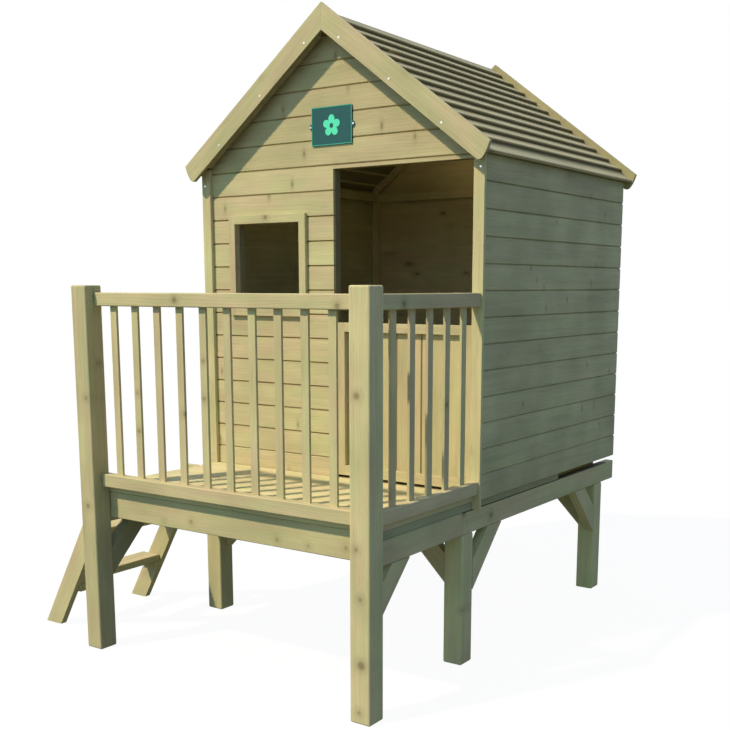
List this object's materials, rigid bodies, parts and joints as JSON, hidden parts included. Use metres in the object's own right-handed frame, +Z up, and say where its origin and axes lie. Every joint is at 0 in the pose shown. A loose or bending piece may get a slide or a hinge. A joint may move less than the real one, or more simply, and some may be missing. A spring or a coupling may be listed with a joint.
{
  "type": "stilt playhouse",
  "caption": "Wooden playhouse on braced posts, with a railed veranda, a side ladder, an open window, a half door and a slatted gable roof.",
  "frame": {"origin": "on the ground, under the middle of the whole bounding box, ladder included", "axes": "+Z up; -Y towards the railed front of the veranda; -X towards the side with the ladder"},
  "size_m": [1.591, 1.8294, 2.1547],
  "materials": {
    "timber": "pale green pressure-treated softwood, planed, with knots",
    "roof_timber": "pale green pressure-treated softwood, overlapping boards",
    "plaque": "dark teal plastic, satin",
    "hinge_metal": "zinc-plated steel, satin"
  },
  "bodies": {
    "house": {"post_front_left": "timber", "post_mid_left": "timber", "post_rear_left": "timber", "post_front_right": "timber", "post_mid_right": "timber", "post_rear_right": "timber", "bearer_front_left": "timber", "bearer_rear_left": "timber", "bearer_front_right": "timber", "bearer_rear_right": "timber", "beam_front": "timber", "beam_mid": "timber", "beam_rear": "timber", "brace_front_left": "timber", "brace_mid_left": "timber", "brace_rear_left": "timber", "brace_mid_cross_left": "timber", "brace_rear_cross_left": "timber", "brace_front_right": "timber", "brace_mid_right": "timber", "brace_rear_right": "timber", "brace_mid_cross_right": "timber", "brace_rear_cross_right": "timber", "floor_rim_left": "timber", "floor_rim_right": "timber", "deck": "timber", "house_floor": "timber", "rail_front_top": "timber", "rail_front_bottom": "timber", "rail_side_top": "timber", "rail_side_bottom": "timber", "ladder_stringer_front": "timber", "ladder_stringer_rear": "timber", "ladder_tread_1": "timber", "ladder_tread_2": "timber", "front_wall": "timber", "front_gable": "timber", "rear_wall": "timber", "side_wall_left": "timber", "side_wall_right": "timber", "front_frame": "timber", "rear_frame": "timber", "corner_trim_left": "timber", "corner_trim_right": "timber", "window_frame": "timber", "roof_left": "roof_timber", "roof_right": "roof_timber", "barge_front_left": "timber", "barge_front_right": "timber", "barge_rear_left": "timber", "barge_rear_right": "timber", "hinge_low_plate": "hinge_metal", "hinge_high_plate": "hinge_metal", "plaque": "plaque"},
    "half_door": {"door_frame": "timber", "door_boards": "timber", "door_ledges": "timber", "hinge_low_strap": "hinge_metal", "hinge_high_strap": "hinge_metal"}
  },
  "joints": [
    {"name": "half_door_hinge", "type": "hinge", "parent": "house", "child": "half_door", "pos_m": [0.71383, -0.22935, 0.845], "axis": [0, 0, -1], "range_deg": [0, 90]}
  ]
}
